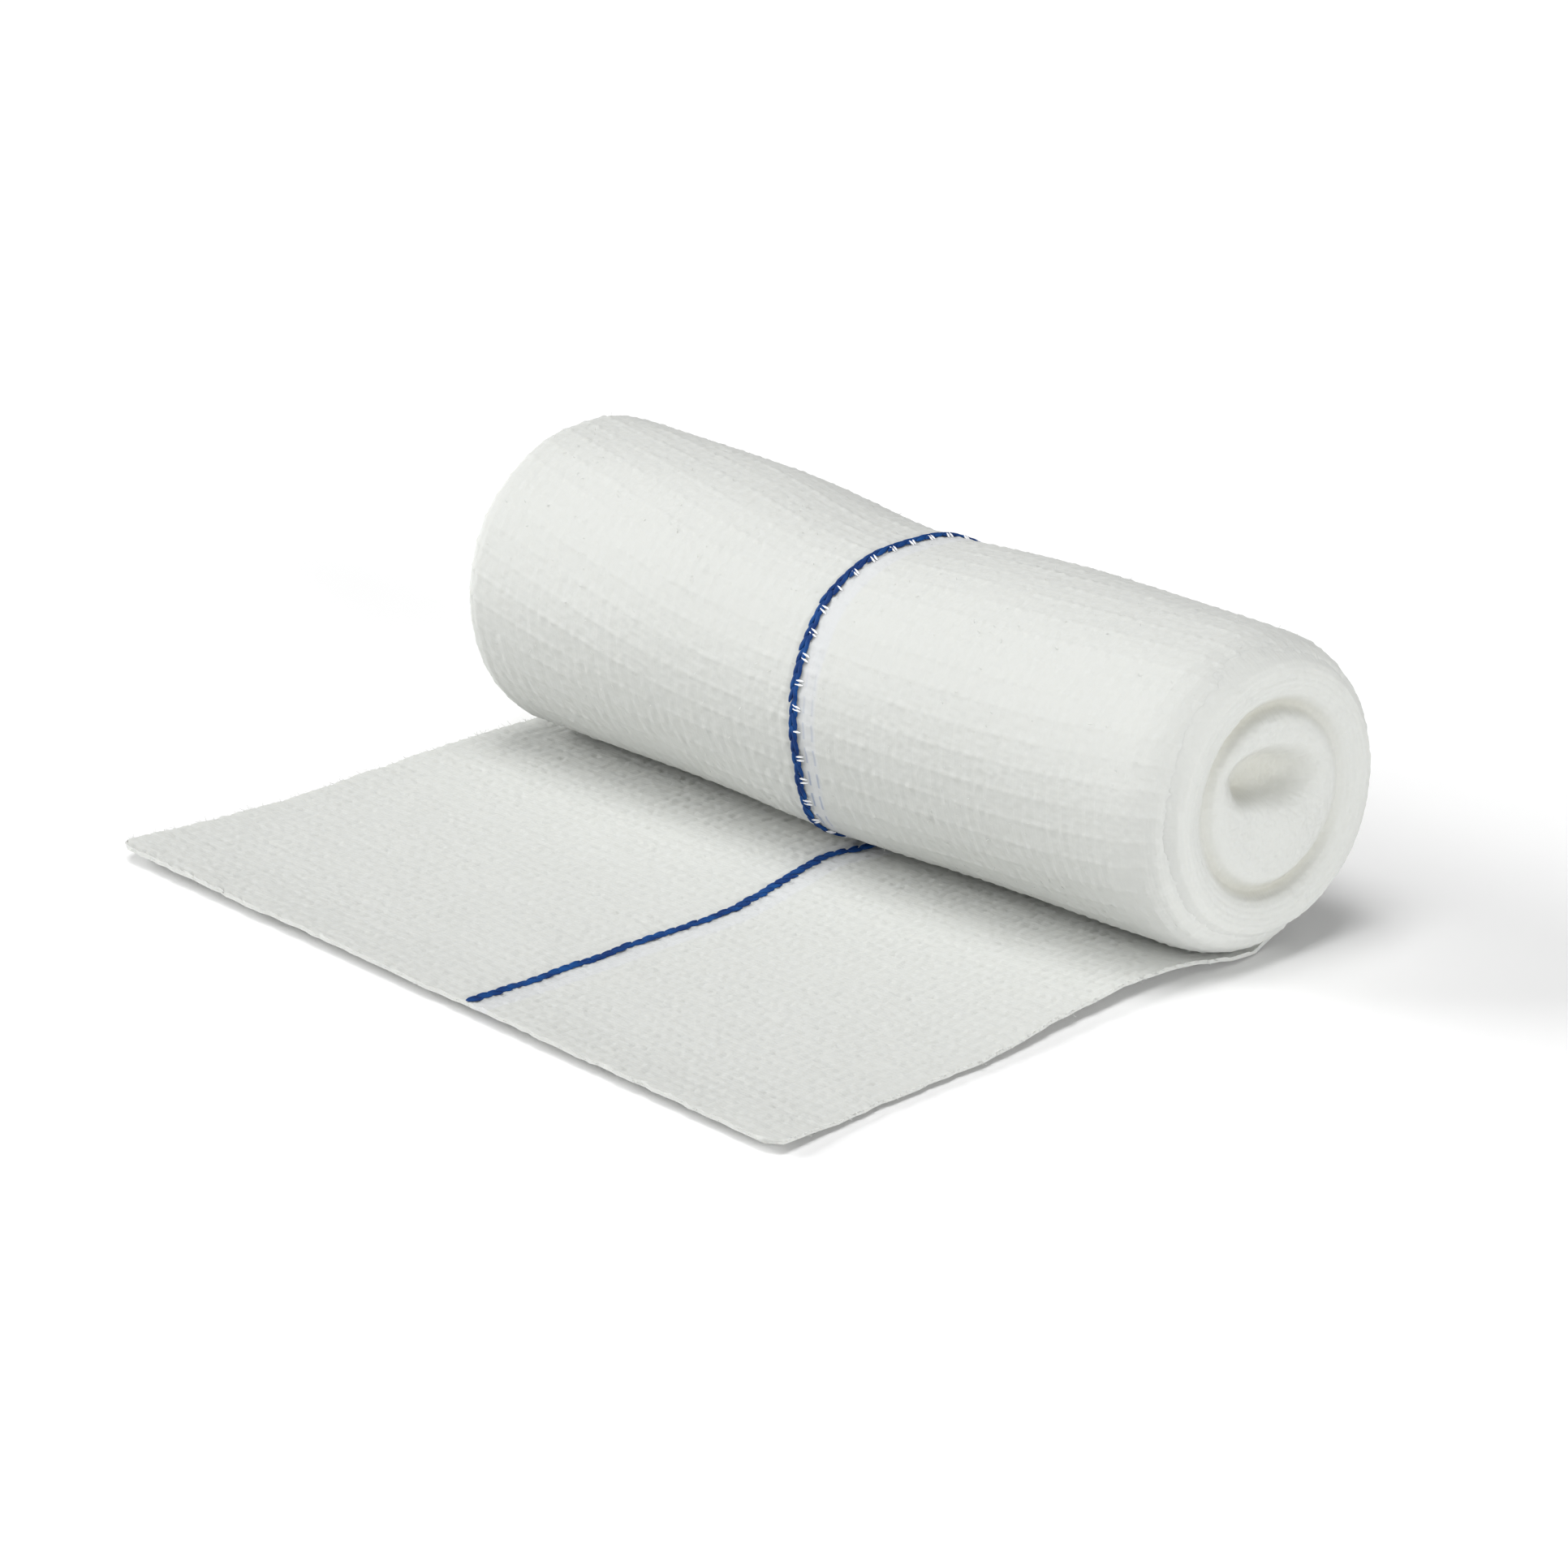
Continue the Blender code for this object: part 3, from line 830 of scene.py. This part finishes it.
class Shading:
    """A material and the means to build its nodes. An input is a constant or another node's output."""

    def __init__(self, name):
        self.material = bpy.data.materials.new(name)
        self.material.use_nodes = True
        self.tree = self.material.node_tree
        self.shader = self.tree.nodes["Principled BSDF"]

    def set(self, **values):
        """Constants of the shader, with underscores for the spaces in their names."""
        for key, value in values.items():
            self.shader.inputs[key.replace("_", " ")].default_value = value

    def node(self, kind, inputs=(), **settings):
        made = self.tree.nodes.new(kind)
        for key, value in settings.items():
            setattr(made, key, value)
        for key, value in dict(inputs).items():
            if isinstance(value, bpy.types.NodeSocket):
                self.tree.links.new(value, made.inputs[key])
            else:
                made.inputs[key].default_value = value
        return made

    def maths(self, operation, *values):
        return self.node("ShaderNodeMath", enumerate(values), operation=operation).outputs[0]

    def wave(self, value, count):
        return self.maths("COSINE", self.maths("MULTIPLY", value, count * FULL_TURN))

    def away(self, value, centre):
        return self.maths("ABSOLUTE", self.maths("SUBTRACT", value, centre))

    def peak(self, value, centre, width):
        """1 at the centre, falling evenly to 0 at the width."""
        fall = self.maths("DIVIDE", self.away(value, centre), width)
        return self.maths("MAXIMUM", self.maths("SUBTRACT", 1.0, fall), 0.0)

    def plateau(self, value, centre, width, edge):
        """1 near the centre, falling to 0 over an edge that ends at the width."""
        rise = self.maths("DIVIDE", self.maths("SUBTRACT", width, self.away(value, centre)), edge)
        return self.maths("MINIMUM", self.maths("MAXIMUM", rise, 0.0), 1.0)

    def noise(self, scale, detail):
        place = self.node("ShaderNodeTexCoord").outputs["Object"]
        inputs = {"Vector": place, "Scale": scale, "Detail": detail}
        return self.node("ShaderNodeTexNoise", inputs).outputs["Fac"]

    def attribute(self, name, output):
        return self.node("ShaderNodeAttribute", attribute_name=name).outputs[output]

    def tint(self, below, colour, factor, strength):
        """A colour laid over another by a factor between 0 and 1 times its greatest strength."""
        share = self.maths("MULTIPLY", factor, strength)
        return self.node("ShaderNodeMix", {0: share, 6: below, 7: colour}, data_type="RGBA").outputs[2]

    def bump(self, height, strength, distance):
        made = self.node("ShaderNodeBump", {"Height": height, "Strength": strength, "Distance": distance})
        self.tree.links.new(made.outputs[0], self.shader.inputs["Normal"])

    def colour(self, socket):
        self.tree.links.new(socket, self.shader.inputs["Base Color"])


def marker_below(look, course, mark):
    """Where the dashed lines of the inner turns' marker show through, low on the front of the roll."""
    dash = look.maths("GREATER_THAN", look.maths("SINE", look.maths("MULTIPLY", course, FULL_TURN)), -0.45)
    second = look.maths("MULTIPLY", look.peak(mark, 2.45, 0.20), 0.8)
    lines = look.maths("MAXIMUM", look.peak(mark, 1.32, 0.22), second)
    return look.maths("MULTIPLY", look.maths("MULTIPLY", lines, dash), look.peak(course, 32.5, 6.0))


def knit_material():
    """Off-white knit: ribs, stitches, fibre grain, painted shade (a darker, warmer colour) in the end's
    groove, hollow and pit, and the inner marker showing through.
    """
    look = Shading("bandage_knit_dressed")
    knit = look.attribute("knit", "Vector")
    wale, course, mark = look.node("ShaderNodeSeparateXYZ", {0: knit}).outputs
    rising = look.wave(look.maths("ADD", wale, course), 2)
    falling = look.wave(look.maths("SUBTRACT", wale, course), 2)
    grain = look.noise(GRAIN_SCALE, 3.0)
    soft = look.noise(SOFT_SCALE, 2.0)
    broad = look.noise(BROAD_SCALE, 2.0)

    height = look.maths("MULTIPLY", look.maths("MULTIPLY", rising, falling), BUMP_SHARES["stitch"])
    height = look.maths("MULTIPLY_ADD", look.wave(wale, 1), BUMP_SHARES["rib"], height)
    height = look.maths("MULTIPLY_ADD", grain, BUMP_SHARES["grain"], height)
    height = look.maths("MULTIPLY_ADD", soft, BUMP_SHARES["soft"], height)
    look.bump(height, *CLOTH_BUMP)

    pale = look.maths("MULTIPLY", broad, PALE_SHARES["broad"])
    pale = look.maths("MULTIPLY_ADD", soft, PALE_SHARES["soft"], pale)
    pale = look.maths("MULTIPLY_ADD", grain, PALE_SHARES["grain"], pale)
    beside = look.plateau(mark, *BESIDE_MARKER)
    colour = look.tint(CLOTH, CLOTH_PALE, pale, 1.0)
    # Painted shade in the end's groove, hollow and pit
    colour = look.tint(colour, CLOTH_PAINTED_SHADE, look.attribute("painted_shade", "Fac"), PAINTED_SHADE_TINT)
    colour = look.tint(colour, CLOTH_BESIDE_MARKER, beside, BESIDE_MARKER_TINT)
    look.colour(look.tint(colour, MARKER_BELOW, marker_below(look, course, mark), MARKER_BELOW_TINT))
    look.set(Roughness=0.92, Specular_IOR_Level=0.2, Sheen_Weight=0.12, Sheen_Roughness=0.5)
    look.set(Subsurface_Weight=0.25, Subsurface_Radius=(1.0, 0.95, 0.85), Subsurface_Scale=0.0006)
    return look.material


def yarn_material():
    """Dark blue spun yarn with paler worn fibres."""
    look = Shading("marker_yarn_dressed")
    ramp = look.node("ShaderNodeValToRGB", {"Fac": look.noise(700.0, 1.0)})
    dark, worn = ramp.color_ramp.elements
    dark.position, dark.color = 0.35, YARN_DARK
    worn.position, worn.color = 0.72, YARN_WORN
    look.colour(ramp.outputs[0])
    look.bump(look.noise(3200.0, 3.0), *YARN_BUMP)
    look.set(Roughness=0.75, Specular_IOR_Level=0.25)
    return look.material


def stitch_material():
    """Bleached white yarn."""
    look = Shading("white_stitch")
    look.set(Base_Color=STITCH_WHITE, Roughness=0.8)
    return look.material


def floor_material():
    look = Shading("studio_floor")
    look.set(Base_Color=FLOOR_WHITE, Roughness=1.0, Specular_IOR_Level=0.0)
    return look.material


def finish_piece(piece, material):
    piece.data.materials.append(material)


def make_bandage():
    knit = knit_material()
    yarn = yarn_material()
    join = wound_length(JOIN_ANGLE)
    last = wound_length(LAST_ANGLE)
    tail = strip_piece("bandage_tail", (-TAIL_LENGTH, join), (-1, 1), TAIL_SPACING, TAIL_THICKNESS, True)
    left = strip_piece("bandage_roll_left", (join, last), (-1, 0), ROLL_SPACING, PLY_THICKNESS, False)
    right = strip_piece("bandage_roll_right", (join, last), (0, 1), ROLL_SPACING, PLY_THICKNESS, False)
    coil = coil_piece()
    ends = [end_piece("bandage_end_left", -1), end_piece("bandage_end_right", 1)]
    ticks = tick_piece()
    fibres = fibre_piece()
    for piece in (tail, left, right, coil, *ends, fibres):
        finish_piece(piece, knit)
    finish_piece(ticks, stitch_material())
    for piece in (tail, left, right, coil, *ends):
        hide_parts("bandage_strip")
    marker_end = wound_length(MARKER_ON_ROLL_END)
    roll_yarn = marker_piece("marker_on_roll", join + 1.0, marker_end, ROLL_STITCH, ROLL_STRAND, False)
    tail_yarn = marker_piece("marker_on_tail", -TAIL_LENGTH + 0.2, -4.0, TAIL_STITCH, TAIL_STRAND, True)
    for piece, node in ((roll_yarn, "marker_yarn_roll"), (tail_yarn, "marker_yarn_tail")):
        finish_piece(piece, yarn)
        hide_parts(node)


def make_floor():
    mesh = bpy.data.meshes.new("studio_floor")
    corners = [(x * FLOOR_HALF, y * FLOOR_HALF, 0) for x, y in ((-1, -1), (1, -1), (1, 1), (-1, 1))]
    mesh.from_pydata(corners, [], [(0, 1, 2, 3)])
    mesh.materials.append(floor_material())
    floor = bpy.data.objects.new("studio_floor", mesh)
    bpy.context.scene.collection.objects.link(floor)


def area_light(name, azimuth, elevation, size, power):
    """A square light that looks at the bandage. Azimuth 0 is on the tail's side and 90 at the right end."""
    a, e = math.radians(azimuth), math.radians(elevation)
    light = bpy.data.lights.new(name, "AREA")
    light.size = size
    light.energy = power
    lamp = bpy.data.objects.new(name, light)
    towards = Vector((math.sin(a) * math.cos(e), -math.cos(a) * math.cos(e), math.sin(e)))
    lamp.location = LIGHT_TARGET + towards * LIGHT_DISTANCE
    lamp.rotation_euler = towards.to_track_quat("Z", "Y").to_euler()
    bpy.context.scene.collection.objects.link(lamp)


def make_lights():
    for row in LIGHT_ROWS:
        area_light(*row)
    world = bpy.data.worlds.new("studio")
    world.use_nodes = True
    background = world.node_tree.nodes["Background"]
    background.inputs["Color"].default_value = (1.0, 1.0, 1.0, 1)
    background.inputs["Strength"].default_value = WORLD_STRENGTH
    bpy.context.scene.world = world
    bpy.context.scene.view_settings.view_transform = "Standard"


def make_camera():
    back = Vector((
        math.sin(CAMERA_AZIMUTH) * math.cos(CAMERA_ELEVATION),
        -math.cos(CAMERA_AZIMUTH) * math.cos(CAMERA_ELEVATION),
        math.sin(CAMERA_ELEVATION),
    ))
    level = (-back).cross(Vector((0, 0, 1))).normalized()
    upright = level.cross(-back)
    right = level * math.cos(CAMERA_TILT) + upright * math.sin(CAMERA_TILT)
    up = upright * math.cos(CAMERA_TILT) - level * math.sin(CAMERA_TILT)
    camera = bpy.data.cameras.new("photo_camera")
    camera.sensor_width = SENSOR_WIDTH
    camera.lens = SENSOR_WIDTH * FOCAL_PIXELS / PHOTO_PIXELS
    camera.clip_start = 0.01
    camera.clip_end = 20.0
    eye = bpy.data.objects.new("photo_camera", camera)
    place = CAMERA_TARGET + back * CAMERA_DISTANCE + right * CAMERA_RIGHT + up * CAMERA_UP
    eye.matrix_world = Matrix.Translation(place * MM) @ Matrix((right, up, back)).transposed().to_4x4()
    bpy.context.scene.collection.objects.link(eye)
    bpy.context.scene.camera = eye


make_camera()
make_bandage()
make_floor()
make_lights()
bpy.context.view_layer.update()
